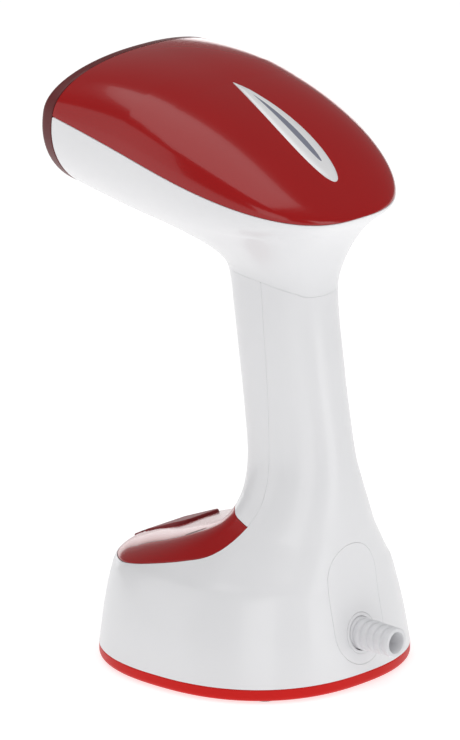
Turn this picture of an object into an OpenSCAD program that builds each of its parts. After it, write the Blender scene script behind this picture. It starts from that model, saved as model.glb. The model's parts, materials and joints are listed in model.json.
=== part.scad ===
// Upright garment steamer: weighted base with water tank, handle and steam head.
// Front (steam plate) faces -Y, the cord leaves at +Y, +Z is up, mirror plane X = 0.

/* [Base] */
// Half width of the base at the band
base_half_w = 64; // [63:0.5:65]
// Distance from the origin to the front of the base
base_front = 66; // [65:0.5:67]
// Distance from the origin to the back of the base
base_rear = 63; // [62:0.5:64]
// Top of the coloured band
band_top = 6.5; // [6:0.1:7]
// Wall thickness of the mouldings
wall = 2.2; // [2:0.1:2.4]
// Radius of each rubber foot
foot_r = 6; // [5:0.5:7]

/* [Handle] */
// Half width of the grip
grip_half_w = 20.3; // [20:0.1:20.6]
// Half width of the trigger
trigger_half_w = 8.5; // [8:0.1:9]
// Travel of the trigger in degrees
trigger_travel = 6; // [4:1:6]

/* [Steam head] */
// Half width of the head at its front
head_half_w = 56.5; // [56:0.5:57]
// Distance from the origin to the front of the head at the parting line
head_front = 74; // [73:0.5:75]
// Distance from the origin to the back of the head
head_rear = 58.5; // [58:0.5:59]
// Height of the parting plane above the origin
parting_z = 223.4; // [223:0.1:224]
// Drop of the parting plane for each unit towards the back
parting_slope = 0.26; // [0.25:0.01:0.27]
// Height of the front arch above the parting plane
arch_h = 19.5; // [19:0.5:20]
// Depth of the housing below the parting plane
keel_d = 42.6; // [42:0.2:43]
// Depth of the front bezel
bezel_t = 6; // [5:0.5:7]
// Radius of one steam hole
steam_hole_r = 1.6; // [1.2:0.1:1.8]

/* [Filler flap] */
// Half width of the flap
flap_half_w = 13; // [12.5:0.5:13.5]
// Length of the flap
flap_len = 24; // [23:0.5:25]
// Radius of the flap's hinge pin
pin_r = 1; // [0.9:0.05:1.1]

/* [Cord guard] */
// Radius of the hole for the cord
cord_bore_r = 4.5; // [4:0.1:4.7]
// Outer radius at the root
guard_root_r = 6.8; // [6.5:0.1:7]
// Outer radius at the tip
guard_tip_r = 5.7; // [5.5:0.1:5.9]
// Length that stands out of the panel
guard_len = 23; // [22:0.5:24]

/* [Hidden] */
ring_n = 40;
gap = 0.3;
eps = 0.01;

// Body stations: height, front, back, half width, widest point, roundness
body = [
    [band_top, -base_front, base_rear, base_half_w, -2, 2.35],
    [24, -64.5, 60, 61, -2, 2.35],
    [38, -62.5, 57, 57.5, -2, 2.35],
    [45, -60, 56, 54.5, -1, 2.35],
    [50, -49.6, 55.5, 50.5, 1, 2.3],
    [56, -32, 54.8, 45.5, 4, 2.3],
    [61.5, -17.5, 54.2, 41, 8, 2.25],
    [66, -7, 53.8, 37.5, 12, 2.2],
    [70, -0.8, 53.3, 34.5, 16, 2.2],
    [76, 3, 52.6, 30.5, 20, 2.2],
    [85, 3.6, 51.3, 25.5, 24, 2.2],
    [98, 1.8, 49.2, 21.3, 25, 2.15],
    [120, -1, 45.4, grip_half_w, 22.2, 2.15],
    [141, -3.9, 42.2, grip_half_w, 19.1, 2.15],
    [162, -6.8, 39.4, grip_half_w + 0.1, 16.3, 2.15],
    [176, -9, 39.4, 21, 15.2, 2.15],
    [184, -12, 42, 23, 15, 2.15]];

// Neck stations above the seam, same columns
neck = [
    [164, -7.1, 39.3, 20.4, 16, 2.15],
    [176, -9, 39.4, 21, 15.2, 2.15],
    [182, -11.5, 41.2, 22.6, 15, 2.15],
    [187, -19, 45, 26, 14, 2.15],
    [191, -31, 49, 30.5, 12, 2.15],
    [195, -44, 52.5, 35, 10, 2.15],
    [200, -50, 55.5, 39, 8, 2.15],
    [206, -54, 57, 42, 6, 2.15]];

// Side-view curves, [y, z]
seam_curve = [[-30, 178.8], [-8, 178.6], [8, 178.2], [20, 177], [28, 175], [34, 172.8], [39, 170.6], [60, 168]];
cover_edge = [[-80, 44.2], [-45, 44.8], [-30, 46.8], [-12, 51], [0, 54.2], [9, 57], [15, 60.5], [20, 65.5], [24, 71.3]];
cover_back = [[24, 71.3], [20, 74.4], [15.5, 77.6], [10, 80.2], [3, 82], [-10, 82.6], [-40, 83]];
grip_edge = [[24, 71.3], [26.4, 77.7], [26.9, 86.6], [25.6, 98], [24.4, 117], [23.6, 130], [22.2, 147], [21, 160], [19.8, 182]];

// Head: distance along the head, plan, dome and keel
head_len = head_front + head_rear;
face_lean = 0.2;
face_angle = atan(face_lean);
lean_fade = 60;
head_mid = 0.38;
head_waist = 54.2;
dome_round = 2.9;
plan_round = 2.65;
head_steps = 16;
arc_n = 22;

hinge = [0, -53.6, 46.4];
flap_slope = 19;
barrel_half = 10;
flap_swing = 2.35;
trigger_pivot = [0, -1.5, 171];
pump_at = [-6, 31, 30];
filler_at = 12.5;
screw_at = [38, -28];
guard_z = 23.5;
panel_y = 57;
steel = [0.75, 0.76, 0.78];
white = [0.93, 0.93, 0.94];
red = [0.72, 0.1, 0.1];

function sp(v, e) = sign(v) * pow(abs(v), e);
function cr(a, b, c, d, t) = 0.5 * ((2 * b) + (c - a) * t + (2 * a - 5 * b + 4 * c - d) * t * t
    + (3 * b - a - 3 * c + d) * t * t * t);
function smooth(s, k) = [
    for (i = [0:len(s) - 2]) for (j = [0:k - 1])
        cr(s[max(i - 1, 0)], s[i], s[i + 1], s[min(i + 2, len(s) - 1)], j / k),
    s[len(s) - 1]];
function reversed(s) = [for (i = [len(s) - 1:-1:1]) s[i]];
// One horizontal section, inset by off
function ring(s, off) = [
    for (i = [0:ring_n - 1]) let (t = 360 * i / ring_n)
        [(s[3] - off) * sp(cos(t), 2 / s[5]),
         s[4] + (sin(t) < 0 ? s[4] - s[1] - off : s[2] - s[4] - off) * sp(sin(t), 2 / s[5]),
         s[0]]];
function head_y(s) = -head_front + head_len * s;
function parting(y) = parting_z - parting_slope * y;
function head_w(y) = let (yc = -head_front + head_mid * head_len)
    y < yc ? head_waist + (head_half_w - head_waist) * pow((yc - y) / (yc + head_front), 2)
           : head_waist * pow(max(1 - pow((y - yc) / (head_rear - yc), plan_round), 0), 1 / plan_round);
function dome_h(s) = (arch_h + 42.7 * s - 55 * s * s) * sqrt(max(1 - pow(s, 6.4), 0));
function keel_h(s) = keel_d * pow(max(1 - pow(s, 2.6), 0), 0.8);
function lean(y) = face_lean * max(1 - (y + head_front) / lean_fade, 0);
// One section across the head: upper (sgn = 1) or lower (sgn = -1) half, inset by off
function head_ring(s, sgn, off) = let (y = head_y(s), w = max(head_w(y) - off, 0.5),
    h = max((sgn > 0 ? dome_h(s) : keel_h(s)) - off, 0.4), n = sgn > 0 ? 2.2 + (dome_round - 2.2) * min(s * 3, 1) : 2)
    [for (i = [0:arc_n]) let (t = 180 * i / arc_n, m = sgn * h * pow(sin(t), 2 / n))
        [-sgn * w * sp(cos(t), 2 / n), y + lean(y) * m, parting(y) + m]];
function head_stations(a, b) = [for (i = [0:head_steps]) a + (b - a) * sin(90 * i / head_steps)];

// Joins rings of equal length into one closed solid
module skin(rings) {
    m = len(rings[0]);
    k = len(rings);
    polyhedron(points = [for (r = rings) for (p = r) p],
        faces = concat(
            [[for (j = [0:m - 1]) j]],
            [for (i = [0:k - 2]) for (j = [0:m - 1])
                [i * m + j, (i + 1) * m + j, (i + 1) * m + (j + 1) % m]],
            [for (i = [0:k - 2]) for (j = [0:m - 1])
                [i * m + j, (i + 1) * m + (j + 1) % m, i * m + (j + 1) % m]],
            [[for (j = [0:m - 1]) (k - 1) * m + m - 1 - j]]));
}

// Outer form of base and handle, inset by off
module body_form(off) {
    translate([0, 0, off > 0 ? -1.6 : 0])
        skin([for (s = smooth(body, 2)) ring(s, off)]);
}

module neck_form(off) {
    skin([for (s = smooth(neck, 2)) ring(s, off)]);
}

module head_half(sgn, off, s0, s1) {
    skin([for (s = head_stations(s0, s1)) head_ring(s, sgn, off)]);
}

// Everything above (up = 1) or below a side-view curve, as a slab along X
module side_cut(curve, up) {
    far = up > 0 ? 400 : -100;
    rotate([90, 0, 90])
        translate([0, 0, -100])
            linear_extrude(200)
                polygon(concat(smooth(curve, 3), [[curve[len(curve) - 1][0], far], [curve[0][0], far]]));
}

// The side-view area of the tank cover
module cover_area() {
    rotate([90, 0, 90])
        translate([0, 0, -100])
            linear_extrude(200)
                polygon(concat(smooth(cover_edge, 3), smooth(cover_back, 3), [[-80, 83]]));
}

// The side-view area of the handle's front cover
module grip_area() {
    rotate([90, 0, 90])
        translate([0, 0, -100])
            linear_extrude(200)
                polygon(concat(reversed(smooth(cover_back, 3)), smooth(grip_edge, 3), [[-40, 182]]));
}

// Turns a profile lying in the XY plane into the plane of the steam face
module on_face(depth) {
    translate([0, -head_front, parting(-head_front)])
        rotate([90 - face_angle, 0, 0])
            translate([0, 0, -depth])
                children();
}

module face_outline(off) {
    polygon([for (i = [0:71]) let (t = 5 * i, up = sin(t) > 0, n = up ? 2.2 : 2)
        [(head_half_w - off) * sp(cos(t), 2 / n), ((up ? arch_h : keel_d) - off) * sp(sin(t), 2 / n) / cos(face_angle)]]);
}

module rod_x(r, l) { rotate([0, 90, 0]) cylinder(r = r, h = l, center = true, $fn = 32); }
module rod_y(r, l) { rotate([-90, 0, 0]) cylinder(r = r, h = l, $fn = 40); }

module box(a, b) {
    translate(a)
        cube([b[0] - a[0], b[1] - a[1], b[2] - a[2]]);
}

// Pan-head screw, head at the top, with a cross recess
module screw(r, l) {
    difference() {
        union() {
            cylinder(r = r, h = l, $fn = 20);
            translate([0, 0, l])
                cylinder(r = r * 1.9, h = r * 1.2, $fn = 24);
        }
        for (a = [0, 90])
            rotate([0, 0, a])
                translate([-r, -r * 0.2, l + r * 0.5])
                    cube([r * 2, r * 0.4, r * 2]);
    }
}

// Round tube swept through points by hand-set joints
module tube_run(pts, r) {
    n = 10;
    q = smooth(pts, 4);
    skin([for (i = [0:len(q) - 1]) let (
            d = q[min(i + 1, len(q) - 1)] - q[max(i - 1, 0)],
            t = d / norm(d),
            u = cross(t, [1, 0, 0]) / norm(cross(t, [1, 0, 0])),
            v = cross(t, u))
        [for (j = [0:n - 1]) q[i] + r * (cos(360 * j / n) * u + sin(360 * j / n) * v)]]);
}

// Close-wound helical spring along Z, as stacked rings joined by a thin sleeve
module spring(r, wire, l, turns) {
    step = (l - 2 * wire) / turns;
    for (i = [0:turns])
        translate([0, 0, wire + i * step])
            rotate_extrude($fn = 24)
                translate([r, 0])
                    circle(r = wire, $fn = 16);
    difference() {
        translate([0, 0, wire])
            cylinder(r = r + wire * 0.3, h = l - 2 * wire, $fn = 24);
        translate([0, 0, -1])
            cylinder(r = r - wire * 0.3, h = l + 2, $fn = 24);
    }
}

foot_xy = [[0, 0], [44, -36], [-44, -36], [40, 40], [-40, 40]];
boss_xy = [[50, 0], [-50, 0], [22, -54], [-22, -54]];

module base_outline(off) {
    s = body[0];
    polygon([for (p = ring(s, off)) [p[0], p[1]]]);
}

module base_plate() color(red) {
    difference() {
        union() {
            skin([ring([0.8, -base_front + 2, base_rear - 2, base_half_w - 2, -2, 2.35], 0),
                ring([2, -base_front + 0.7, base_rear - 0.7, base_half_w - 0.7, -2, 2.35], 0),
                ring([4, -base_front + 0.1, base_rear - 0.1, base_half_w - 0.1, -2, 2.35], 0),
                ring([band_top - 0.1, -base_front, base_rear, base_half_w, -2, 2.35], 0)]);
        }
        translate([0, 0, 2.8])
            linear_extrude(10)
                base_outline(2.6);
        for (p = foot_xy)
            translate([p[0], p[1], 0])
                cylinder(r = foot_r + 0.02, h = 1.8, $fn = 48);
        for (p = boss_xy)
            translate([p[0], p[1], 0]) {
                cylinder(r = 1.8, h = 10, $fn = 24);
                cylinder(r = 3.4, h = 2, $fn = 32);
            }
    }
}

module rubber_feet() color([0.2, 0.2, 0.2]) {
    for (p = foot_xy)
        translate([p[0], p[1], 0])
            cylinder(r = foot_r, h = 1.8, $fn = 48);
}

module base_screws() color(steel) {
    for (p = boss_xy)
        translate([p[0], p[1], 12])
            rotate([180, 0, 0])
                screw(1.5, 10);
}

module ballast_weight() color([0.35, 0.35, 0.37]) {
    difference() {
        translate([0, 16, 2.9])
            linear_extrude(5)
                circle(r = 34, $fn = 96);
        for (p = boss_xy)
            translate([p[0], p[1], 0])
                cylinder(r = 5, h = 20, $fn = 32);
        box([-60, -30, 0], [60, -1, 20]);
        box([-14, 33, 0], [14, 60, 20]);
    }
}

// Recess and window for the cord panel, a stadium seen from behind
module stadium(half_w, low, high, depth) {
    rotate([90, 0, 0])
        translate([0, 0, -depth])
            linear_extrude(depth)
                union() {
                    translate([0, high - half_w])
                        circle(r = half_w, $fn = 64);
                    translate([0, low + half_w])
                        circle(r = half_w, $fn = 64);
                    translate([-half_w, low + half_w])
                        square([2 * half_w, high - low - 2 * half_w]);
                }
}

module body_shell() color(white) {
    difference() {
        body_form(0);
        difference() {
            body_form(wall);
            // Bosses that take the base screws
            for (p = boss_xy)
                difference() {
                    translate([p[0], p[1], band_top + 2])
                        union() {
                            cylinder(r = 4.2, h = 24, $fn = 32);
                            rotate([0, 0, atan2(p[1], p[0])])
                                translate([0, -1, 0])
                                    cube([20, 2, 24]);
                        }
                    translate([p[0], p[1], 0])
                        cylinder(r = 1.6, h = 18, $fn = 24);
                }
        }
        translate([0, 0, band_top - 3])
            linear_extrude(3 + 2)
                base_outline(wall);
        side_cut(seam_curve, 1);
        cover_area();
        grip_area();
        translate([0, panel_y - 8, 0])
            stadium(15.7, 10, 62.8, 20);
    }
}

module cord_panel() color(white) {
    difference() {
        intersection() {
            body_form(0);
            translate([0, panel_y - 9, 0])
                stadium(15.5, 10.2, 62.6, 20);
        }
        difference() {
            body_form(2.4);
            for (z = [42, 56])
                translate([0, 40, z])
                    rod_y(3.5, 20);
        }
        // Socket round the cord guard
        translate([0, 30, guard_z])
            rod_y(guard_root_r + 0.05, 40);
        translate([0, panel_y - 0.6, guard_z])
            rod_y(guard_root_r + 2.4, 10);
        for (z = [42, 56])
            translate([0, 30, z])
                rod_y(1.3, 22);
    }
}

module panel_screws() color(steel) {
    for (z = [42, 56])
        translate([0, 51.4, z])
            rotate([90, 0, 0])
                screw(1.3, 5);
}

module cord_guard() color([0.9, 0.9, 0.92]) {
    ribs = 5;
    pitch = (guard_len - 4) / ribs;
    translate([0, panel_y, guard_z])
        rotate([-90, 0, 0])
            difference() {
                union() {
                    translate([0, 0, -6])
                        cylinder(r = guard_root_r, h = 7, $fn = 64);
                    translate([0, 0, -6])
                        cylinder(r = guard_root_r + 1.8, h = 2, $fn = 64);
                    cylinder(r1 = guard_root_r - 1.1, r2 = guard_tip_r - 0.7, h = guard_len, $fn = 64);
                    for (i = [0:ribs - 1]) let (f = (i + 0.5) / ribs)
                        translate([0, 0, 1 + i * pitch])
                            cylinder(r = guard_root_r + (guard_tip_r - guard_root_r) * f, h = pitch * 0.62, $fn = 64);
                    translate([0, 0, guard_len - 3])
                        cylinder(r = guard_tip_r, h = 3, $fn = 64);
                }
                translate([0, 0, -7])
                    cylinder(r = cord_bore_r, h = guard_len + 8, $fn = 64);
            }
}

module cord_clamp() color([0.25, 0.25, 0.27]) {
    translate([0, 38, guard_z])
        difference() {
            union() {
                box([-11, 0, -6.5], [11, 7, -4.6]);
                box([-11, 0, 3], [11, 7, 5.6]);
            }
            for (x = [-8, 8])
                translate([x, 3.5, -10])
                    cylinder(r = 1.35, h = 20, $fn = 24);
        }
}

module clamp_screws() color(steel) {
    for (x = [-8, 8])
        translate([x, 41.5, guard_z - 7])
            screw(1.3, 12.7);
}

module terminal_block() color([0.9, 0.88, 0.8]) {
    difference() {
        box([-12, 22, 10], [12, 31, 18]);
        for (x = [-8, 0, 8])
            translate([x, 20, 14])
                rod_y(1.8, 20);
        for (x = [-8, 0, 8])
            translate([x, 26.5, 14])
                cylinder(r = 1.5, h = 10, $fn = 24);
    }
}

module tank_outline(off) {
    s = body[2];
    intersection() {
        polygon([for (p = ring(s, off)) [p[0], p[1]]]);
        translate([-80, -80 + off])
            square([160, 80 + 16 - off * 2 + 4]);
    }
}

module water_tank() color([0.75, 0.85, 0.9]) {
    difference() {
        union() {
            translate([0, 0, 9])
                linear_extrude(34)
                    tank_outline(5.5);
            intersection() {
                on_flap()
                    translate([0, filler_at, -14])
                        cylinder(r = 9.5, h = 11.4, $fn = 48);
                box([-30, -70, 42], [30, 0, 70]);
            }
        }
        translate([0, 0, 10.6])
            linear_extrude(30.8)
                tank_outline(7.1);
        on_flap()
            translate([0, filler_at, -16])
                cylinder(r = 7.8, h = 30, $fn = 48);
        for (p = boss_xy)
            translate([p[0], p[1], 0])
                cylinder(r = 5.6, h = 60, $fn = 32);
        translate([0, 5, 40])
            cylinder(r = 2.6, h = 8, $fn = 32);
    }
    // Posts that close the wall round the screw bosses
    for (p = boss_xy)
        intersection() {
            translate([0, 0, 9])
                linear_extrude(34)
                    tank_outline(5.5);
            translate([p[0], p[1], 9])
                difference() {
                    cylinder(r = 7.2, h = 34, $fn = 32);
                    translate([0, 0, -1])
                        cylinder(r = 5.6, h = 40, $fn = 32);
                }
        }
}

// Plan of the flap: straight at the hinge, rounded corners at the free end
module flap_plan(grow) {
    corner = 5;
    translate([-flap_half_w - grow, -0.2 - grow])
        square([2 * (flap_half_w + grow), flap_len - corner]);
    hull()
        for (k = [-1, 1])
            translate([k * (flap_half_w - corner), flap_len - corner]) {
                circle(r = corner + grow, $fn = 48);
                translate([k * corner / 2, -corner])
                    square([corner + 2 * grow, 2], center = true);
            }
}

module on_flap() {
    translate(hinge)
        rotate([flap_slope, 0, 0])
            children();
}

module tank_cover() color(red) {
    difference() {
        union() {
            difference() {
                intersection() {
                    body_form(0);
                    cover_area();
                }
                translate([0, 0, -0.2])
                    body_form(wall);
                // Room for the flap and its swing
                translate(hinge)
                    rod_x(flap_swing, 2 * flap_half_w + 1);
                on_flap()
                    translate([0, 0, 1])
                        linear_extrude(10)
                            flap_plan(0.4);
                on_flap()
                    translate([0, filler_at, -6])
                        cylinder(r = 9.8, h = 16, $fn = 48);
            }
            // Lugs that hold the hinge pin
            for (k = [-1, 1])
                translate([k * (barrel_half + 2.7), hinge[1], hinge[2]]) {
                    rod_x(1.5, 4.6);
                    box([-2.3, -1.2, -1.8], [2.3, 4.7, 0]);
                }
        }
        translate(hinge)
            rod_x(pin_r, 2 * barrel_half + 9);
        // A shallow slot on each shoulder
        for (k = [-1, 1])
            translate([k * 36.1, -10.2, 70.6])
                rotate([0, 103.9, 90 - k * 72.6])
                    cylinder(r = 11, h = 0.9, center = true, $fn = 64);
    }
}

module filler_flap() color([0.62, 0.09, 0.1]) {
    difference() {
        union() {
            on_flap()
                difference() {
                    translate([0, 0, 1.6])
                        linear_extrude(1.6)
                            flap_plan(0);
                    // Thins towards the hinge
                    translate([-30, 20, 3.2])
                        rotate([2.8, 0, 0])
                            translate([0, -40, 0])
                                cube([60, 40, 6]);
                }
            translate(hinge)
                rod_x(1.9, 2 * barrel_half);
            on_flap()
                translate([-barrel_half + 0.5, -0.15, 1.15])
                    cube([2 * barrel_half - 1, 1.6, 0.7]);
        }
        translate(hinge)
            rod_x(pin_r + 0.06, 60);
    }
}

module flap_hinge_pin() color(steel) {
    translate(hinge)
        rod_x(pin_r, 2 * barrel_half + 6);
}

module filler_seal() color([0.3, 0.3, 0.32]) {
    on_flap()
        translate([0, filler_at, -5])
            cylinder(r = 7, h = 6.6, $fn = 40);
}

module handle_front_cover() color(white) {
    difference() {
        intersection() {
            body_form(0);
            grip_area();
        }
        difference() {
            body_form(wall);
            // Lugs that hold the trigger pin
            for (x = [-11.2, 11.2])
                translate([x, trigger_pivot[1] - 1.6, trigger_pivot[2]])
                    cube([2.6, 12, 7], center = true);
        }
        translate(trigger_pivot)
            rod_x(1.5, 40);
        side_cut(seam_curve, 1);
        // Window for the trigger
        box([-trigger_half_w - 0.5, -30, 131], [trigger_half_w + 0.5, 4, 173.4]);
    }
}

module steam_trigger() color([0.72, 0.1, 0.1]) {
    difference() {
        intersection() {
            union() {
                translate([0, -0.6, 0])
                    body_form(0);
            }
            box([-trigger_half_w, -30, 132], [trigger_half_w, 3.4, 172.6]);
        }
        difference() {
            translate([0, 0.4, 0])
                body_form(wall);
            // Boss round the pivot
            translate(trigger_pivot)
                rod_x(3, 2 * trigger_half_w);
            box([-3, -6, 136], [3, 3.3, 139]);
        }
        box([-trigger_half_w + 2, -3.2, 141], [trigger_half_w - 2, 10, 166]);
        translate(trigger_pivot)
            rod_x(1.56, 60);
    }
}

module trigger_pin() color(steel) {
    translate(trigger_pivot)
        rod_x(1.5, 2 * trigger_half_w + 7.6);
}

module trigger_spring() color(steel) {
    translate([0, -3.1, 153])
        rotate([-90, 0, 0])
            spring(2.6, 0.4, 17, 8);
}

module switch_body() color([0.15, 0.15, 0.16]) {
    difference() {
        union() {
            box([-3.2, 8.4, 131], [3.2, 14.4, 147]);
            box([-16.8, 14, 127], [16.8, 15.6, 164]);
        }
        translate([0, 8, 137.5])
            rod_y(1.26, 5.6);
    }
}

module switch_plunger() color(red) {
    translate([0, 3.5, 137.5])
        rod_y(1.2, 6);
}

module pump_body() color([0.3, 0.3, 0.32]) {
    translate(pump_at)
        difference() {
            union() {
                box([-30, -9, -11], [-10, 9, 7]);
                translate([-36, 0, -2])
                    rotate([0, 90, 0])
                        cylinder(r = 5, h = 34, $fn = 40);
                for (x = [-25, -15])
                    translate([x, 0, 6])
                        cylinder(r = 2.6, h = 7, $fn = 32);
            }
            translate([-34, 0, -2])
                rotate([0, 90, 0])
                    cylinder(r = 3.12, h = 30, $fn = 40);
            // Outlet of the bore
            translate([-37, 0, -2])
                rotate([0, 90, 0])
                    cylinder(r = 1.2, h = 4, $fn = 24);
        }
}

module pump_piston() color(steel) {
    translate(pump_at + [-31, 0, -2])
        rotate([0, 90, 0])
            cylinder(r = 3.05, h = 12, $fn = 40);
}

module pump_spring() color(steel) {
    translate(pump_at + [-18.9, 0, -2])
        rotate([0, 90, 0])
            spring(2.2, 0.35, 14.8, 7);
}

module pump_mounts() color([0.2, 0.2, 0.2]) {
    for (x = [-31, -21])
        translate([x, 31, 8])
            cylinder(r = 3.5, h = 11, $fn = 32);
}

module suction_tube() color([0.85, 0.85, 0.8]) {
    tube_run([[0, 5, 13], [0, 5, 25], [0, 5, 38], [0, 6, 46], [-6, 10, 51], [-16, 18, 53],
        [-26, 27, 52], [-31, 31, 48], [-31, 31, 43.5]], 1.8);
}

module delivery_tube() color([0.85, 0.85, 0.8]) {
    tube_run([[-21, 31, 43.5], [-21, 31, 48], [-16, 31, 56], [-9, 30, 66], [-5, 28, 82], [-5, 26, 100],
        [-5, 23, 125], [-5, 21, 150], [-5, 19, 178], [-6, 11, 194], [-9, -5, 208], [-15, -25, 220],
        [-20, -42, 226], [-20, -51.6, 227.8]], 1.8);
}

module wire_harness() color([0.3, 0.3, 0.6]) {
    tube_run([[8, 26.5, 18.3], [8, 27, 28], [8, 30, 45], [6, 32, 62], [5, 30, 85], [5, 26.5, 110],
        [5, 24, 130], [5, 22, 150], [5, 19, 178], [6, 11, 194], [8, -2, 207], [10, -16, 217], [10, -32, 224]], 2.2);
}

module head_housing() color(white) {
    difference() {
        union() {
            head_half(-1, 0, bezel_t / head_len, 0.999);
            difference() {
                neck_form(0);
                side_cut([[-90, parting(-90)], [90, parting(90)]], 1);
                side_cut(seam_curve, -1);
            }
        }
        difference() {
            head_half(-1, wall, (bezel_t - 3) / head_len, 0.985);
            on_face(bezel_t + 9)
                linear_extrude(3)
                    face_outline(0);
            for (x = [-1, 1])
                translate([x * screw_at[0], screw_at[1], 190])
                    cylinder(r = 4.4, h = 60, $fn = 32);
        }
        neck_form(wall);
        on_face(bezel_t + 12)
            linear_extrude(16)
                face_outline(9);
        side_cut(seam_curve, -1);
        for (x = [-1, 1])
            translate([x * screw_at[0], screw_at[1], 190]) {
                cylinder(r = 1.7, h = 60, $fn = 24);
                cylinder(r = 3.2, h = 19, $fn = 32);
            }
    }
}

module head_top_cover() color(red) {
    difference() {
        head_half(1, 0, bezel_t / head_len, 0.999);
        difference() {
            head_half(1, wall, (bezel_t - 3) / head_len, 0.985);
            for (x = [-1, 1])
                translate([x * screw_at[0], screw_at[1], 220])
                    cylinder(r = 4.4, h = 60, $fn = 32);
        }
        for (x = [-1, 1])
            translate([x * screw_at[0], screw_at[1], 220])
                cylinder(r = 1.6, h = 24, $fn = 24);
        light_slot(0.15);
    }
}

module front_bezel() color([0.5, 0.12, 0.12]) {
    difference() {
        union() {
            head_half(1, 0, 0, (bezel_t - 0.2) / head_len);
            head_half(-1, 0, 0, (bezel_t - 0.2) / head_len);
        }
        on_face(bezel_t + 6)
            linear_extrude(bezel_t + 12)
                face_outline(6);
    }
}

// Rows of steam holes that follow the outline
module steam_pattern() {
    for (k = [0:1], a = [0:15:345]) let (f = 0.82 - 0.26 * k)
        translate([(head_half_w - 6) * f * cos(a), (sin(a) > 0 ? arch_h - 6 : keel_d - 6) * f * sin(a)])
            circle(r = steam_hole_r, $fn = 20);
}

module steam_plate() color(steel) {
    on_face(2.5)
        difference() {
            linear_extrude(3)
                face_outline(6.3);
            translate([0, 0, -1])
                linear_extrude(6)
                    steam_pattern();
        }
}

module steam_gasket() color([0.75, 0.35, 0.2]) {
    on_face(5.5)
        linear_extrude(2.9)
            difference() {
                face_outline(10);
                face_outline(13);
            }
}

module generator_form(grow, depth, thick) {
    on_face(depth)
        linear_extrude(thick)
            translate([0, -12])
                union() {
                    square([52, 26 + 2 * grow], center = true);
                    for (x = [-26, 26])
                        translate([x, 0])
                            circle(r = 13 + grow, $fn = 48);
                }
}

module steam_generator() color([0.7, 0.7, 0.72]) {
    difference() {
        generator_form(0, 24, 16);
        generator_form(-4, 20, 14);
        on_face(22)
            for (x = [-28, 28], y = [-19, -5])
                translate([x, y, -4])
                    cylinder(r = 1.2, h = 30, $fn = 20);
    }
}

module generator_cover() color([0.65, 0.65, 0.68]) {
    difference() {
        generator_form(0, 7.9, 2);
        on_face(10)
            for (x = [-16:8:16])
                translate([x, -12, -1])
                    cylinder(r = 2.2, h = 8, $fn = 24);
        on_face(22)
            for (x = [-28, 28], y = [-19, -5])
                translate([x, y, 2])
                    cylinder(r = 1.5, h = 30, $fn = 20);
    }
}

module generator_screws() color(steel) {
    on_face(17.6)
        for (x = [-28, 28], y = [-19, -5])
            translate([x, y, 0])
                cylinder(r = 1.2, h = 11.9, $fn = 20);
    on_face(5.9)
        for (x = [-28, 28], y = [-19, -5])
            translate([x, y, 0])
                cylinder(r = 2.2, h = 1.2, $fn = 24);
}

module heating_element() color([0.4, 0.4, 0.42]) {
    on_face(27.6)
        translate([0, -12, 0])
            difference() {
                linear_extrude(3.5)
                    union() {
                        square([48, 22], center = true);
                        for (x = [-24, 24])
                            translate([x, 0])
                                circle(r = 11, $fn = 48);
                    }
                translate([0, 0, -1])
                    linear_extrude(6)
                        union() {
                            square([48, 13], center = true);
                            for (x = [-24, 24])
                                translate([x, 0])
                                    circle(r = 6.5, $fn = 48);
                        }
            }
}

module thermostat() color([0.85, 0.83, 0.75]) {
    on_face(33)
        translate([0, -12, 0]) {
            cylinder(r = 5.8, h = 8.9, $fn = 48);
            translate([-8, -2, 1])
                cube([16, 4, 2]);
        }
}

module thermal_fuse() color([0.85, 0.85, 0.8]) {
    on_face(29)
        translate([16, -12, 2.8])
            rotate([90, 0, 0])
                cylinder(r = 2, h = 11, center = true, $fn = 32);
}

module heat_shield() color([0.8, 0.8, 0.82]) {
    on_face(36)
        translate([0, -8, 0])
            linear_extrude(1.2)
                difference() {
                    square([76, 30], center = true);
                    translate([0, -4])
                        circle(r = 8, $fn = 48);
                    translate([-20, -2])
                        circle(r = 4.5, $fn = 32);
                    translate([10, 0])
                        circle(r = 4.5, $fn = 32);
                }
}

// Teardrop on the crest, sharp end towards the front, set in the cover's slope
trim_front = [0, -15, 253.6];
trim_back = [0, 44.5, 220.4];

module teardrop(half_w, l, grow) {
    n = 24;
    polygon(concat(
        [for (i = [0:n]) let (t = i / n) [-grow + (l + 2 * grow) * t, (half_w + grow) * drop(t)]],
        [for (i = [n - 1:-1:1]) let (t = i / n) [-grow + (l + 2 * grow) * t, -(half_w + grow) * drop(t)]]));
}
// Half width of the drop, 1 at its widest
function drop(t) = 2.6 * t * pow(max(1 - t, 0), 0.5);

module on_crest(lift) {
    d = trim_back - trim_front;
    l = norm(d);
    translate(trim_front)
        rotate([0, asin(-d[2] / l), 90])
            translate([0, 0, lift])
                children();
}

crest_len = norm(trim_back - trim_front);
trim_half_w = 7;
lens_half_w = 2.8;

module light_slot(grow) {
    on_crest(-8)
        linear_extrude(16)
            teardrop(trim_half_w, crest_len, grow);
}

module light_trim() color([0.85, 0.85, 0.87]) {
    difference() {
        on_crest(-4)
            linear_extrude(16)
                teardrop(trim_half_w, crest_len, 0);
        translate([0, 0, 1.6])
            difference() {
                box([-20, -60, 180], [20, 80, 320]);
                head_half(1, 0, 0, 0.999);
            }
        translate([0, 0, -2.4])
            head_half(1, 0, 0, 0.999);
        on_crest(-8)
            translate([crest_len * 0.2, 0, 0])
                linear_extrude(30)
                    teardrop(lens_half_w, crest_len * 0.66, 0.1);
    }
}

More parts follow.
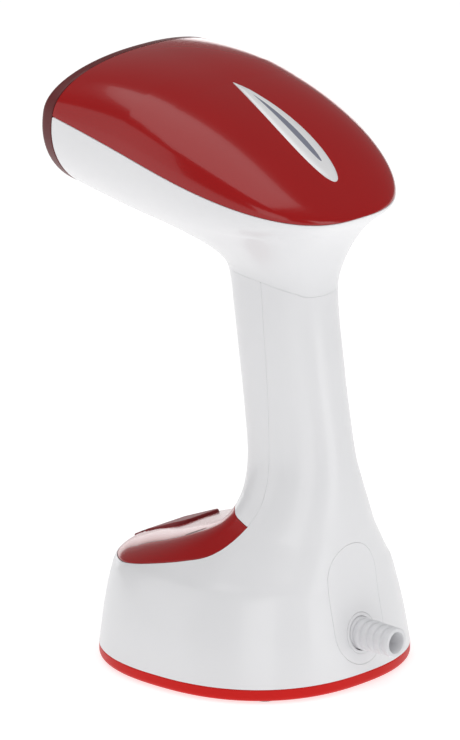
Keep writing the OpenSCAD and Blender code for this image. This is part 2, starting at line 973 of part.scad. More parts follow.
module light_lens() color([0.35, 0.35, 0.45]) {
    difference() {
        on_crest(-4)
            translate([crest_len * 0.2, 0, 0])
                linear_extrude(16)
                    teardrop(lens_half_w, crest_len * 0.66, 0);
        translate([0, 0, 0.5])
            difference() {
                box([-20, -60, 180], [20, 80, 320]);
                head_half(1, 0, 0, 0.999);
            }
        translate([0, 0, -2.4])
            head_half(1, 0, 0, 0.999);
    }
}

module light_board() color([0.1, 0.4, 0.2]) {
    on_crest(-9)
        translate([12, -6, 0])
            cube([34, 12, 1.6]);
    for (k = [20, 30, 40])
        on_crest(-7.4)
            translate([k, 0, 0])
                cylinder(r = 1.5, h = 3, $fn = 24);
}

module head_screws() color(steel) {
    for (x = [-1, 1])
        translate([x * screw_at[0], screw_at[1], 243])
            rotate([180, 0, 0])
                screw(1.5, 34);
}

base_plate();
rubber_feet();
base_screws();
ballast_weight();
body_shell();
handle_front_cover();
steam_trigger();
trigger_pin();
trigger_spring();
switch_body();
switch_plunger();
tank_cover();
water_tank();
filler_flap();
flap_hinge_pin();
filler_seal();
cord_panel();
panel_screws();
cord_guard();
cord_clamp();
clamp_screws();
terminal_block();
pump_body();
pump_piston();
pump_spring();
pump_mounts();
suction_tube();
delivery_tube();
wire_harness();
head_housing();
head_top_cover();
front_bezel();
steam_plate();
steam_gasket();
steam_generator();
generator_cover();
generator_screws();
heating_element();
thermostat();
thermal_fuse();
heat_shield();
light_trim();
light_lens();
light_board();
head_screws();
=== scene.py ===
import json
import math
import bpy
import numpy as np
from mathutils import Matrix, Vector


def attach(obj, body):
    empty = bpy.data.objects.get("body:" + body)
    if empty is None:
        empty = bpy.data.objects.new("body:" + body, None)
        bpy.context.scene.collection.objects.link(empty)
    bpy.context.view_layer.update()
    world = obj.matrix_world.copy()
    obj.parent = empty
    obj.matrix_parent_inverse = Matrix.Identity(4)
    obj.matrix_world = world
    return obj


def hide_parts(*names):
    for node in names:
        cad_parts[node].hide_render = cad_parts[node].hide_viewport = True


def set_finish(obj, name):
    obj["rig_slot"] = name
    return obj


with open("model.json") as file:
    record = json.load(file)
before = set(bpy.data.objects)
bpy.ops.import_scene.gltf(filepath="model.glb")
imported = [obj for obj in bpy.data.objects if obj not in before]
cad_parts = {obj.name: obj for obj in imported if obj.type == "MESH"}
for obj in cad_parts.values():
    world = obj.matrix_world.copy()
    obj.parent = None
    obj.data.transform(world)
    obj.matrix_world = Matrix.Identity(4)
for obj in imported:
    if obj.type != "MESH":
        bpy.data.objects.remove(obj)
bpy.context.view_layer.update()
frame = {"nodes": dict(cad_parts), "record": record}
MM = 0.001
TAU = 2 * math.pi

# Sizes of the part, in mm
BAND_TOP = 6.5
HEAD_W, HEAD_F, HEAD_R = 56.5, 74.0, 58.5
PART_Z, PART_SLOPE = 223.4, 0.26
ARCH, KEEL, BEZEL = 19.5, 42.6, 6.0
HEAD_L = HEAD_F + HEAD_R
LEAN, FADE, MID, WAIST = 0.2, 60.0, 0.38, 54.2
DOME_N, PLAN_N = 2.9, 2.65
HINGE_Y, HINGE_Z, FLAP_SLOPE, FLAP_W, FLAP_L = -53.6, 46.4, 19.0, 13.0, 24.0
GUARD_Z, PANEL_Y = 23.5, 57.0

# Sections of base and handle: height, front, back, half width, widest y, superellipse power
BODY = np.array([
    [BAND_TOP, -66, 63, 64, -2, 2.35], [24, -64.5, 60, 61, -2, 2.35], [38, -62.5, 57, 57.5, -2, 2.35],
    [45, -60, 56, 54.5, -1, 2.35], [50, -49.6, 55.5, 50.5, 1, 2.3], [56, -32, 54.8, 45.5, 4, 2.3],
    [61.5, -17.5, 54.2, 41, 8, 2.25], [66, -7, 53.8, 37.5, 12, 2.2], [70, -0.8, 53.3, 34.5, 16, 2.2],
    [76, 3, 52.6, 30.5, 20, 2.2], [85, 3.6, 51.3, 25.5, 24, 2.2], [98, 1.8, 49.2, 21.3, 25, 2.15],
    [120, -1, 45.4, 20.3, 22.2, 2.15], [141, -3.9, 42.2, 20.3, 19.1, 2.15],
    [162, -6.8, 39.4, 20.4, 16.3, 2.15], [176, -9, 39.4, 21, 15.2, 2.15],
    [184, -12, 42, 23, 15, 2.15]], float)
# Edges of the moulded panels in side view, as points of y and z
SEAM = [[-30, 178.8], [-8, 178.6], [8, 178.2], [20, 177], [28, 175], [34, 172.8], [39, 170.6], [60, 168]]
COVER_EDGE = [[-80, 44.2], [-45, 44.8], [-30, 46.8], [-12, 51], [0, 54.2],
              [9, 57], [15, 60.5], [20, 65.5], [24, 71.3]]
COVER_BACK = [[24, 71.3], [19.5, 72.9], [15, 74.4], [11, 75.8], [3, 77], [-10, 77.6], [-40, 78]]
GRIP_EDGE = [[24, 71.3], [26.4, 77.7], [26.9, 86.6], [25.6, 98], [24.4, 117],
             [23.6, 130], [22.2, 147], [21, 160], [19.8, 182]]


# ---------------------------------------------------------------- shapes
def signed_pow(v, e):
    return np.sign(v) * np.abs(v) ** e


def catmull(table, u):
    """Rows of table at the real index u, joined by a uniform Catmull-Rom curve."""
    table = np.asarray(table, float)
    last = len(table) - 1
    u = np.clip(np.asarray(u, float), 0, last)
    i = np.minimum(u.astype(int), last - 1)
    t = (u - i)[..., None]
    a, b = table[np.maximum(i - 1, 0)], table[i]
    c, d = table[i + 1], table[np.minimum(i + 2, last)]
    square, cube = 2 * a - 5 * b + 4 * c - d, 3 * b - a - 3 * c + d
    return 0.5 * (2 * b + (c - a) * t + square * t * t + cube * t ** 3)


def curve(points, per=8):
    return catmull(points, np.linspace(0, len(points) - 1, (len(points) - 1) * per + 1))


def body_at(u, t):
    """Point of the outer form of base and handle at row u and angle t."""
    s = catmull(BODY, u)
    z, f, r, w, c, n = (s[..., k] for k in range(6))
    cx, sn = np.cos(t), np.sin(t)
    depth = np.where(sn < 0, c - f, r - c)
    return np.stack([w * signed_pow(cx, 2 / n), c + depth * signed_pow(sn, 2 / n), z], -1)


def parting(y):
    return PART_Z - PART_SLOPE * y


def head_y(s):
    return -HEAD_F + HEAD_L * s


def head_w(y):
    yc = -HEAD_F + MID * HEAD_L
    front = WAIST + (HEAD_W - WAIST) * ((yc - y) / (yc + HEAD_F)) ** 2
    back = WAIST * np.maximum(1 - np.abs((y - yc) / (HEAD_R - yc)) ** PLAN_N, 0) ** (1 / PLAN_N)
    return np.where(y < yc, front, back)


def dome_h(s):
    return (ARCH + 42.7 * s - 55 * s * s) * np.sqrt(np.maximum(1 - np.clip(s, 0, 1) ** 6.4, 0))


def keel_h(s):
    return KEEL * np.maximum(1 - np.clip(s, 0, 1) ** 2.6, 0) ** 0.8


def lean(y):
    return LEAN * np.maximum(1 - (y + HEAD_F) / FADE, 0)


def head_at(s, t, off=0.0):
    """Point of the head's outer form; t runs 0..pi over the dome and pi..2pi under the keel."""
    y = head_y(s)
    up = np.sin(t) >= 0
    w = np.maximum(head_w(y) - off, 0.02)
    h = np.maximum(np.where(up, dome_h(s), keel_h(s)) - off, 0.01)
    n = np.where(up, 2.2 + (DOME_N - 2.2) * np.minimum(s * 3, 1), 2.0)
    m = h * signed_pow(np.sin(t), 2 / n)
    return np.stack([w * signed_pow(np.cos(t), 2 / n), y + lean(y) * m, parting(y) + m], -1)


def dome_z(x, y):
    """Height of the dome over x, y behind the leaning front."""
    s = (y + HEAD_F) / HEAD_L
    n = 2.2 + (DOME_N - 2.2) * np.minimum(s * 3, 1)
    return parting(y) + dome_h(s) * np.maximum(1 - np.abs(x / head_w(y)) ** n, 0) ** (1 / n)


def region(points, poly):
    """Signed distance from points (n,2) to a closed outline, positive inside."""
    a = np.asarray(poly, float)
    b = np.roll(a, -1, 0)
    best = np.full(len(points), 1e9)
    inside = np.zeros(len(points), bool)
    for p, q in zip(a, b):
        d = q - p
        length = d @ d
        if length < 1e-12:
            continue
        h = np.clip(((points - p) @ d) / length, 0, 1)
        best = np.minimum(best, np.hypot(*(points - p - h[:, None] * d).T))
        cond = (p[1] > points[:, 1]) != (q[1] > points[:, 1])
        with np.errstate(divide="ignore", invalid="ignore"):
            cross = (q[0] - p[0]) * (points[:, 1] - p[1]) / (q[1] - p[1]) + p[0]
        inside ^= cond & (points[:, 0] < cross)
    return np.where(inside, best, -best)


# ---------------------------------------------------------------- mesh makers
def make(name, verts, faces, body="housing", slot=None, normals=None):
    me = bpy.data.meshes.new(name)
    points = [tuple(v) for v in np.asarray(verts, float) * MM]
    me.from_pydata(points, [], [tuple(int(i) for i in f) for f in faces])
    me.validate()
    me.polygons.foreach_set("use_smooth", [True] * len(me.polygons))
    if normals is not None and len(me.loops) == len(normals):
        me.normals_split_custom_set([tuple(n) for n in normals])
    me.update()
    o = bpy.data.objects.new(name, me)
    bpy.context.scene.collection.objects.link(o)
    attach(o, body)
    if slot:
        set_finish(o, slot)
    return o


def unit(v):
    return v / np.maximum(np.linalg.norm(v, axis=-1, keepdims=True), 1e-12)


def shell(name, point, field, us, vs, slot, round_r=0.5, thick=2.0, gap=0.12, body="housing", flip=1):
    """A moulded panel: the surface point(u, v) where field > gap, with a rounded edge and a wall."""
    def value(uv):
        p = point(uv[:, 0], uv[:, 1])
        return field(p, uv) - gap

    uu, vv = np.meshgrid(us, vs, indexing="ij")
    par = np.stack([uu.ravel(), vv.ravel()], -1)
    val = value(par)
    nv = len(vs)
    i, j = np.meshgrid(np.arange(len(us) - 1), np.arange(nv - 1), indexing="ij")
    q = np.stack([i * nv + j, (i + 1) * nv + j, (i + 1) * nv + j + 1, i * nv + j + 1], -1).reshape(-1, 4)
    q = q[(val[q] > 0).any(1)]
    polys = [list(map(int, f)) for f in q]
    for level, keep in [(0.0, False)] + [(round_r * k, True) for k in (0.06, 0.2, 0.42, 0.7, 1.0)]:
        above = val >= level
        edges = set()
        for p in polys:
            for k in range(len(p)):
                a, b = p[k - 1], p[k]
                if above[a] != above[b]:
                    edges.add((a, b) if a < b else (b, a))
        if edges:
            e = np.array(sorted(edges))
            lo, hi = par[e[:, 0]].copy(), par[e[:, 1]].copy()
            flo, fhi = val[e[:, 0]] - level, val[e[:, 1]] - level
            for _ in range(3):
                w = np.clip(flo / (flo - fhi + 1e-18), 0.02, 0.98)[:, None]
                mid = lo + (hi - lo) * w
                fm = value(mid) - level
                same = (fm > 0) == (flo > 0)
                lo = np.where(same[:, None], mid, lo)
                flo = np.where(same, fm, flo)
                hi = np.where(same[:, None], hi, mid)
                fhi = np.where(same, fhi, fm)
            w = np.clip(flo / (flo - fhi + 1e-18), 0, 1)[:, None]
            mid = lo + (hi - lo) * w
            start = len(par)
            par = np.concatenate([par, mid])
            val = np.concatenate([val, np.full(len(mid), level)])
            above = np.concatenate([above, np.ones(len(mid), bool)])
            index = {tuple(k): start + n for n, k in enumerate(e.tolist())}
        new = []
        for p in polys:
            st = [above[k] for k in p]
            if all(st):
                new.append(p)
            elif not any(st):
                if keep:
                    new.append(p)
            else:
                hi_p, lo_p = [], []
                for k in range(len(p)):
                    a, b = p[k], p[(k + 1) % len(p)]
                    (hi_p if above[a] else lo_p).append(a)
                    if above[a] != above[b]:
                        m = index[(a, b) if a < b else (b, a)]
                        hi_p.append(m)
                        lo_p.append(m)
                if len(hi_p) > 2:
                    new.append(hi_p)
                if keep and len(lo_p) > 2:
                    new.append(lo_p)
        polys = new
    used = sorted(set(k for p in polys for k in p))
    remap = {k: n for n, k in enumerate(used)}
    par, val = par[used], val[used]
    polys = [[remap[k] for k in p] for p in polys]
    P = point(par[:, 0], par[:, 1])
    du, dv = (us[-1] - us[0]) * 1e-5, (vs[-1] - vs[0]) * 1e-5
    ulo, uhi = np.maximum(par[:, 0] - du, us[0]), np.minimum(par[:, 0] + du, us[-1])
    vlo, vhi = par[:, 1] - dv, par[:, 1] + dv
    Pu = (point(uhi, par[:, 1]) - point(ulo, par[:, 1])) / (uhi - ulo)[:, None]
    Pv = (point(par[:, 0], vhi) - point(par[:, 0], vlo)) / (vhi - vlo)[:, None]
    N = unit(np.cross(Pu, Pv)) * flip
    bad = np.linalg.norm(np.cross(Pu, Pv), axis=1) < 1e-9
    if bad.any():
        good = np.nonzero(~bad)[0]
        for k in np.nonzero(bad)[0]:
            N[k] = N[good[np.argmin(((P[good] - P[k]) ** 2).sum(1))]]
    Fu = (value(np.stack([uhi, par[:, 1]], -1)) - value(np.stack([ulo, par[:, 1]], -1))) / (uhi - ulo)
    Fv = (value(np.stack([par[:, 0], vhi], -1)) - value(np.stack([par[:, 0], vlo], -1))) / (vhi - vlo)
    a, b, c = (Pu * Pu).sum(1), (Pu * Pv).sum(1), (Pv * Pv).sum(1)
    det = np.maximum(a * c - b * b, 1e-12)
    G = ((c * Fu - b * Fv) / det)[:, None] * Pu + ((a * Fv - b * Fu) / det)[:, None] * Pv
    B = -unit(G)
    d = np.clip(val, 0, round_r)
    sin = (round_r - d) / round_r
    cos = np.sqrt(np.maximum(1 - sin * sin, 0))
    outer = P - N * (round_r * (1 - cos))[:, None]
    shade = unit(N * cos[:, None] + B * sin[:, None])
    inner = P - N * thick
    n = len(P)
    # The winding of the outer faces must agree with N
    f0 = polys[len(polys) // 2]
    turn = np.cross(P[f0[1]] - P[f0[0]], P[f0[2]] - P[f0[1]])
    if turn @ N[f0[0]] < 0:
        polys = [p[::-1] for p in polys]
    count = {}
    for p in polys:
        for k in range(len(p)):
            count[(p[k], p[(k + 1) % len(p)])] = 1
    faces, loops = [], []
    for p in polys:
        faces.append(p)
        loops.extend(shade[k] for k in p)
    for p in polys:
        faces.append([k + n for k in reversed(p)])
        loops.extend(-N[k] for k in reversed(p))
    for (k, m) in count:
        if (m, k) not in count:
            nb = unit(B[k] + B[m])
            faces.append([m, k, k + n, m + n])
            loops.extend([nb] * 4)
    return make(name, np.concatenate([outer, inner]), faces, body, slot, loops)


def loft(name, rings, slot, body="housing", cap_start=False, cap_end=False, close_loop=False, sharp=None):
    """Skins rings of equal length, each closed on itself."""
    rings = [np.asarray(r, float) for r in rings]
    m, k = len(rings[0]), len(rings)
    faces = []
    for i in range(k if close_loop else k - 1):
        a, b = i * m, ((i + 1) % k) * m
        faces += [[a + j, a + (j + 1) % m, b + (j + 1) % m, b + j] for j in range(m)]
    if cap_start:
        faces.append(list(range(m))[::-1])
    if cap_end:
        faces.append([(k - 1) * m + j for j in range(m)])
    o = make(name, np.concatenate(rings), faces, body, slot)
    if sharp is not None:
        mod = o.modifiers.new("edges", "EDGE_SPLIT")
        mod.split_angle = math.radians(sharp)
    return o


def turned(name, profile, centre, slot, body="housing", n=96, sharp=35):
    """Revolves a closed profile of (along, radius) round the Y axis through centre."""
    t = np.linspace(0, TAU, n, endpoint=False)
    cx, cy, cz = centre
    rings = [np.stack([cx + r * np.cos(t), np.full(n, cy + y), cz + r * np.sin(t)], -1) for y, r in profile]
    return loft(name, rings, slot, body, close_loop=True, sharp=sharp)


# ---------------------------------------------------------------- materials
def principled(name, colour, rough, **sockets):
    m = bpy.data.materials.new(name)
    m.use_nodes = True
    b = m.node_tree.nodes["Principled BSDF"]
    b.inputs["Base Color"].default_value = (*colour, 1)
    b.inputs["Roughness"].default_value = rough
    for key, value in sockets.items():
        b.inputs[key.replace("_", " ")].default_value = value
    return m, m.node_tree, b


def tex_noise(nt, scale, detail=2.0, rough=0.5, stretch=(1, 1, 1)):
    co = nt.nodes.new("ShaderNodeTexCoord")
    mp = nt.nodes.new("ShaderNodeMapping")
    mp.inputs["Scale"].default_value = stretch
    no = nt.nodes.new("ShaderNodeTexNoise")
    no.inputs["Scale"].default_value = scale
    no.inputs["Detail"].default_value = detail
    no.inputs["Roughness"].default_value = rough
    nt.links.new(co.outputs["Object"], mp.inputs["Vector"])
    nt.links.new(mp.outputs["Vector"], no.inputs["Vector"])
    return no


def add_bump(nt, b, source, strength, distance):
    bump = nt.nodes.new("ShaderNodeBump")
    bump.inputs["Strength"].default_value = strength
    bump.inputs["Distance"].default_value = distance
    nt.links.new(source, bump.inputs["Height"])
    nt.links.new(bump.outputs["Normal"], b.inputs["Normal"])


def ramp(nt, source, lo, hi, a=0.3, b=0.7):
    r = nt.nodes.new("ShaderNodeMapRange")
    r.inputs["From Min"].default_value = a
    r.inputs["From Max"].default_value = b
    r.inputs["To Min"].default_value = lo
    r.inputs["To Max"].default_value = hi
    nt.links.new(source, r.inputs["Value"])
    return r.outputs["Result"]


def tint(nt, b, source, dark, light, a=0.3, c=0.7):
    r = nt.nodes.new("ShaderNodeValToRGB")
    r.color_ramp.elements[0].position, r.color_ramp.elements[1].position = a, c
    r.color_ramp.elements[0].color = (*dark, 1)
    r.color_ramp.elements[1].color = (*light, 1)
    nt.links.new(source, r.inputs["Fac"])
    nt.links.new(r.outputs["Color"], b.inputs["Base Color"])


def plastic(name, colour, rough, vary=0.04, grain=0.0, grain_scale=2600, spread=0.05, **sockets):
    """Moulded plastic: slight unevenness in colour and gloss, and a fine skin texture."""
    m, nt, b = principled(name, colour, rough, **sockets)
    broad = tex_noise(nt, 26, 3)
    dark = tuple(c * (1 - vary) for c in colour)
    light = tuple(min(c * (1 + vary), 1) for c in colour)
    tint(nt, b, broad.outputs["Fac"], dark, light)
    fine = tex_noise(nt, 900, 3)
    gloss = ramp(nt, fine.outputs["Fac"], rough * (1 - spread), rough * (1 + spread))
    nt.links.new(gloss, b.inputs["Roughness"])
    skin = tex_noise(nt, grain_scale, 2)
    add_bump(nt, b, skin.outputs["Fac"], 0.05 if not grain else 1.0, 0.00001 if not grain else grain)
    return m


def metal(name, colour, rough, stretch=(1, 1, 30), scale=900, bump=0.000008):
    m, nt, b = principled(name, colour, rough, Metallic=1.0)
    no = tex_noise(nt, scale, 3, 0.6, stretch)
    nt.links.new(ramp(nt, no.outputs["Fac"], rough * 0.8, rough * 1.25), b.inputs["Roughness"])
    tint(nt, b, no.outputs["Fac"], tuple(c * 0.93 for c in colour), tuple(min(c * 1.05, 1) for c in colour))
    add_bump(nt, b, no.outputs["Fac"], 0.4, bump)
    return m


MATERIALS = {
    "white_gloss": plastic("white_gloss", (0.80, 0.80, 0.815), 0.28, 0.012, spread=0.01,
                           Coat_Weight=0.2, Coat_Roughness=0.08),
    "white_soft": plastic("white_soft", (0.72, 0.72, 0.74), 0.42, 0.02, 0.00001),
    "red_gloss": plastic("red_gloss", (0.33, 0.0045, 0.005), 0.18, 0.02, spread=0.01,
                         Specular_IOR_Level=0.35, Coat_Weight=0.22, Coat_Roughness=0.04),
    "red_satin": plastic("red_satin", (0.60, 0.009, 0.007), 0.4, 0.02, Specular_IOR_Level=0.15),
    "red_textured": plastic("red_textured", (0.24, 0.010, 0.014), 0.5, 0.05, 0.00006, 1500),
    "bezel_red": plastic("bezel_red", (0.11, 0.008, 0.009), 0.42, 0.04, 0.00001),
    "dark_rubber": plastic("dark_rubber", (0.02, 0.02, 0.02), 0.7, 0.1, 0.00002),
    "seal_rubber": plastic("seal_rubber", (0.35, 0.07, 0.04), 0.6, 0.08, 0.00002),
    "zinc_steel": metal("zinc_steel", (0.62, 0.62, 0.63), 0.3, (1, 1, 1), 700),
    "plate_steel": metal("plate_steel", (0.66, 0.66, 0.67), 0.26, (40, 1, 1), 500),
    "heater_steel": metal("heater_steel", (0.26, 0.25, 0.24), 0.42, (1, 1, 1), 500),
    "cast_weight": plastic("cast_weight", (0.09, 0.09, 0.095), 0.6, 0.15, 0.00008, 700),
    "cast_aluminium": metal("cast_aluminium", (0.58, 0.58, 0.59), 0.48, (1, 1, 1), 420, 0.00003),
    "black_plastic": plastic("black_plastic", (0.016, 0.016, 0.018), 0.45, 0.1, 0.00002),
    "cream_plastic": plastic("cream_plastic", (0.66, 0.61, 0.48), 0.4, 0.04),
    "tank_plastic": plastic("tank_plastic", (0.52, 0.65, 0.72), 0.12, 0.03, Alpha=0.6),
    "silicone_tube": plastic("silicone_tube", (0.68, 0.67, 0.62), 0.35, 0.04),
    "wire_sleeve": plastic("wire_sleeve", (0.03, 0.04, 0.18), 0.5, 0.06),
    "silver_trim": plastic("silver_trim", (0.82, 0.82, 0.83), 0.34, 0.03, 0.00001, 3200, Metallic=0.15),
    "smoke_lens": plastic("smoke_lens", (0.20, 0.21, 0.27), 0.14, 0.05, Coat_Weight=0.8, Coat_Roughness=0.03),
    "board_green": plastic("board_green", (0.015, 0.14, 0.05), 0.4, 0.06),
}


def finish(o):
    o.data.materials.clear()
    o.data.materials.append(MATERIALS[o["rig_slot"]])
    return o


# ---------------------------------------------------------------- outer pieces
EDGE, BACK, GRIP, SEAM_C = curve(COVER_EDGE), curve(COVER_BACK), curve(GRIP_EDGE), curve(SEAM)
COVER_AREA = np.concatenate([EDGE, BACK, [[-80, 83]]])
GRIP_AREA = np.concatenate([BACK[::-1], GRIP, [[-40, 182]]])
HEAD_AREA = np.concatenate([SEAM_C, [[60, 400], [-30, 400]]])


def stadium(p, half=15.5, low=10.2, high=62.6):
    z = p[:, 2]
    d = half - np.hypot(p[:, 0], z - np.clip(z, low + half, high - half))
    return np.where(p[:, 1] > 30, d, -60.0)


def window(p, hw, z0, z1, r=3.0):
    """Signed distance inside a rounded rectangle on the front of the grip."""
    qx = np.abs(p[:, 0]) - (hw - r)
    qz = np.abs(p[:, 2] - (z0 + z1) / 2) - ((z1 - z0) / 2 - r)
    d = np.hypot(np.maximum(qx, 0), np.maximum(qz, 0)) + np.minimum(np.maximum(qx, qz), 0) - r
    return np.where(p[:, 1] < 6, -d, -60.0)


def flap_opening(p):
    """Signed distance outside the opening under the flap."""
    a = math.radians(FLAP_SLOPE)
    y, z = p[:, 1] - HINGE_Y, p[:, 2] - HINGE_Z
    along = y * math.cos(a) + z * math.sin(a)
    qx = np.abs(p[:, 0]) - (FLAP_W - 4.7)
    qy = np.abs(along - 10.9) - (13.4 - 5)
    return np.hypot(np.maximum(qx, 0), np.maximum(qy, 0)) + np.minimum(np.maximum(qx, qy), 0) - 5


def cover_field(p, uv):
    return np.minimum(region(p[:, 1:3], COVER_AREA), flap_opening(p))


def grip_field(p, uv):
    return np.minimum.reduce([region(p[:, 1:3], GRIP_AREA), -region(p[:, 1:3], HEAD_AREA),
                              -window(p, 9.0, 131, 173.4)])


def shell_field(p, uv):
    return np.minimum.reduce([-region(p[:, 1:3], COVER_AREA), -region(p[:, 1:3], GRIP_AREA),
                              -region(p[:, 1:3], HEAD_AREA), p[:, 2] - BAND_TOP, -stadium(p)])


def panel_field(p, uv):
    return np.minimum(stadium(p) - 0.04, np.hypot(p[:, 0], p[:, 2] - GUARD_Z) - 8.9)


U = np.linspace(0, len(BODY) - 1, 280)
T = np.linspace(0, TAU, 340)
pieces = []
o = shell("body_shell_skin", body_at, shell_field, U, T, "white_gloss", 0.12, gap=0.02, flip=-1)
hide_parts("body_shell")
pieces.append(o)
o = shell("tank_cover_skin", body_at, cover_field, np.linspace(2.5, 10, 170), T,
          "red_gloss", 0.45, gap=0.08, flip=-1)
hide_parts("tank_cover")
pieces.append(o)
o = shell("handle_cover_skin", body_at, grip_field, np.linspace(7, 16, 170), T,
          "white_gloss", 0.12, 1.2, 0.02, flip=-1)
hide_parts("handle_front_cover")
pieces.append(o)
o = shell("cord_panel_skin", body_at, panel_field, np.linspace(0, 7, 130),
          np.linspace(math.radians(40), math.radians(140), 120), "white_gloss", 0.12, gap=0.02, flip=-1)
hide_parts("cord_panel")
pieces.append(o)


def trigger_at(u, t):
    return body_at(u, t) + np.array([0, -0.6, 0])


o = shell("trigger_skin", trigger_at, lambda p, uv: window(p, 8.3, 132, 172.6), np.linspace(11, 16, 90),
          np.linspace(math.pi, TAU, 120), "red_gloss", 1.2, 2.0, 0.0, "trigger", flip=-1)
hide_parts("steam_trigger")
pieces.append(o)


# Band round the base
def base_ring(off, z, n=300):
    t = np.linspace(0, TAU, n, endpoint=False)
    s = BODY[0]
    cx, sn = signed_pow(np.cos(t), 2 / s[5]), signed_pow(np.sin(t), 2 / s[5])
    depth = np.where(sn < 0, s[4] - s[1] - off, s[2] - s[4] - off)
    return np.stack([(s[3] - off) * cx, s[4] + depth * sn, np.full(n, z)], -1)


R = 2.6
EDGE_R = 0.32
prof = [(14, 0.8), (R, 0.8)]
prof += [(R - R * math.sin(a), 0.8 + R - R * math.cos(a)) for a in np.linspace(0.15, math.pi / 2, 9)]
prof += [(0, 5.6), (0, 6.05)]
prof += [(EDGE_R - EDGE_R * math.cos(a), 6.06 + EDGE_R * math.sin(a)) for a in np.linspace(0.3, math.pi / 2, 5)]
prof += [(2.4, 6.38)]
o = loft("base_band", [base_ring(*p) for p in prof], "red_satin", cap_start=True, cap_end=True, sharp=60)
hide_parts("base_plate")
pieces.append(o)

# Steam head: dome, housing and bezel
S0 = BEZEL / HEAD_L
HS = S0 - 0.004 + (0.9999 - S0 + 0.004) * np.sin(np.linspace(0, math.pi / 2, 170))


def dome_field(p, uv):
    return np.minimum(p[:, 2] - parting(head_y(uv[:, 0])), (uv[:, 0] - S0) * HEAD_L)


def keel_field(p, uv):
    return np.minimum(parting(head_y(uv[:, 0])) - p[:, 2], (uv[:, 0] - S0) * HEAD_L)


o = shell("head_dome", head_at, dome_field, HS, np.linspace(0, math.pi, 200), "red_gloss", 0.35, gap=0.06)
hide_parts("head_top_cover")
pieces.append(o)
o = shell("head_keel", head_at, keel_field, HS, np.linspace(math.pi, TAU, 200), "white_gloss", 0.35, gap=0.06)
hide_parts("head_housing")
pieces.append(o)

# Neck that flows from the handle's seam onto the keel
n = 220
t = np.linspace(0, TAU, n, endpoint=False)
u_fine = np.linspace(0, len(BODY) - 1, 4000)
z_fine = catmull(BODY, u_fine)[:, 0]
u0 = np.full(n, 15.0)
for _ in range(12):
    y = body_at(u0, t)[:, 1]
    u0 = np.interp(np.interp(y, SEAM_C[:, 0], SEAM_C[:, 1]) + 0.05, z_fine, u_fine)
P0 = body_at(u0, t)
T0 = unit(body_at(u0 + 0.02, t) - body_at(u0 - 0.02, t))
cx, sn = signed_pow(np.cos(t), 2 / 2.2), signed_pow(np.sin(t), 2 / 2.2)
FOOT_W, FOOT_F, FOOT_B, FOOT_C = 43.5, -52.0, 55.0, 2.0
x1 = FOOT_W * cx
y1 = FOOT_C + np.where(sn < 0, FOOT_C - FOOT_F, FOOT_B - FOOT_C) * sn


def keel_at(x, ys):
    s = (ys + HEAD_F) / HEAD_L
    m = -keel_h(s) * np.sqrt(np.maximum(1 - (x / head_w(ys)) ** 2, 0))
    return np.stack([x, ys + lean(ys) * m, parting(ys) + m], -1)


P1 = keel_at(x1, y1)
N1 = unit(np.cross(keel_at(x1 + 0.05, y1) - keel_at(x1 - 0.05, y1),
                   keel_at(x1, y1 + 0.05) - keel_at(x1, y1 - 0.05)))
N1 *= -np.sign(N1[:, 2:3])
D = P1 - P0
T1 = unit(D - (D * N1).sum(1)[:, None] * N1)
L = np.linalg.norm(D, axis=1)[:, None]
rings = [P0 - 1.8 * unit((P0 - np.array([0, 15, 0])) * np.array([1, 1, 0]))]
for a in np.linspace(0, 1, 40):
    h00, h10 = 2 * a ** 3 - 3 * a ** 2 + 1, a ** 3 - 2 * a ** 2 + a
    h01, h11 = -2 * a ** 3 + 3 * a ** 2, a ** 3 - a ** 2
    rings.append(h00 * P0 + h10 * 0.7 * L * T0 + h01 * (P1 - 0.04 * N1) + h11 * 1.0 * L * T1)
o = loft("head_neck", rings, "white_gloss", sharp=50)
pieces.append(o)

# Bezel round the steam plate
t = np.linspace(0, TAU, 360, endpoint=False)
R = 2.4
rows = [(S0 - 0.12 / HEAD_L, 2.4), (S0 - 0.12 / HEAD_L, 0.3), (S0 - 0.42 / HEAD_L, 0.0)]
rows += [(s, 0.0) for s in np.linspace(S0 - 0.8 / HEAD_L, R / HEAD_L, 6)]
rows += [(R * (1 - math.sin(a)) / HEAD_L, R * (1 - math.cos(a))) for a in np.linspace(0.1, math.pi / 2, 10)]
rows += [(0, 4.0), (0, 5.6), (0.2 / HEAD_L, 5.9), (0.6 / HEAD_L, 6.05), (4.5 / HEAD_L, 6.1)]
o = loft("bezel_ring", [head_at(np.full(len(t), s), t, off) for s, off in rows], "bezel_red", sharp=50)
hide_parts("front_bezel")
pieces.append(o)


# Trim and lens on the crest
def drop(a):
    return 2.6 * a * np.sqrt(np.maximum(1 - a, 0))


def crest_patch(name, y0, length, half, lift, slot, base=0.0, na=120, nb=40):
    a = (1 - np.cos(np.linspace(0, math.pi, na))) / 2
    b = np.sin(np.linspace(-math.pi / 2, math.pi / 2, nb))
    aa, bb = np.meshgrid(a, b, indexing="ij")
    x = bb * half * drop(aa)
    y = y0 + length * aa
    ends = np.minimum(1, aa / 0.14) ** 0.7 * np.minimum(1, (1 - aa) / 0.05) ** 0.5
    up = base + lift * ends * np.maximum(1 - bb ** 4, 0) ** 0.55
    z = dome_z(x, y) + up - 0.15
    v = np.stack([x, y, z], -1).reshape(-1, 3)
    f = [[(i + 1) * nb + j, (i + 1) * nb + j + 1, i * nb + j + 1, i * nb + j]
         for i in range(na - 1) for j in range(nb - 1)]
    return make(name, v, f, "housing", slot)


o = crest_patch("trim_drop", -15, 59.5, 7.0, 1.1, "silver_trim")
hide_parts("light_trim")
pieces.append(o)
o = crest_patch("trim_lens", -15 + 59.5 * 0.2, 59.5 * 0.66, 1.7, 0.12, "smoke_lens", 1.12)
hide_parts("light_lens")
pieces.append(o)


